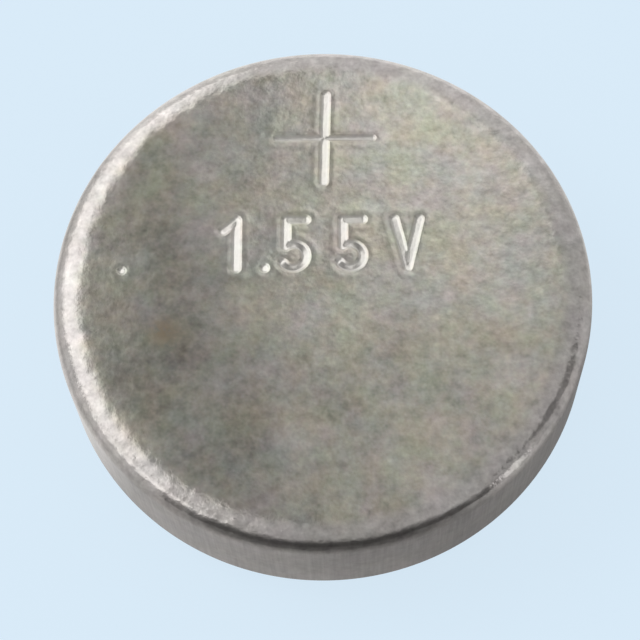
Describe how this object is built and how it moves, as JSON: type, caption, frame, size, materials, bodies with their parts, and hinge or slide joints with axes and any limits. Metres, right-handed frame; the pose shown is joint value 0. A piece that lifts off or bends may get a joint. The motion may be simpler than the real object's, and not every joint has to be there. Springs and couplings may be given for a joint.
{
  "type": "button cell battery",
  "caption": "Round silver oxide button cell with a crimped steel can as its positive pole and a stepped cap as its negative pole.",
  "frame": {"origin": "middle of the negative contact, which the cell lies on", "axes": "+Z along the cell's axis to the positive face; +Y from the voltage figures to the plus sign; +X to the right of both"},
  "size_m": [0.0068, 0.0068, 0.0022],
  "materials": {
    "nickel_can": "satin nickel plate, dulled and blotched, burnished on the corner",
    "nickel_cap": "satin nickel plate with fine rolling lines",
    "nylon": "natural nylon, slightly translucent",
    "silver_oxide": "pressed powder, dull black-brown",
    "cellophane": "smooth damp film",
    "fleece": "matted short fibres",
    "zinc_gel": "wet grey powder"
  },
  "bodies": {
    "root": {"positive_can": "nickel_can", "negative_cap": "nickel_cap", "gasket": "nylon", "cathode_pellet": "silver_oxide", "separator_film": "cellophane", "absorbent_sheet": "fleece", "zinc_anode": "zinc_gel"}
  },
  "joints": []
}
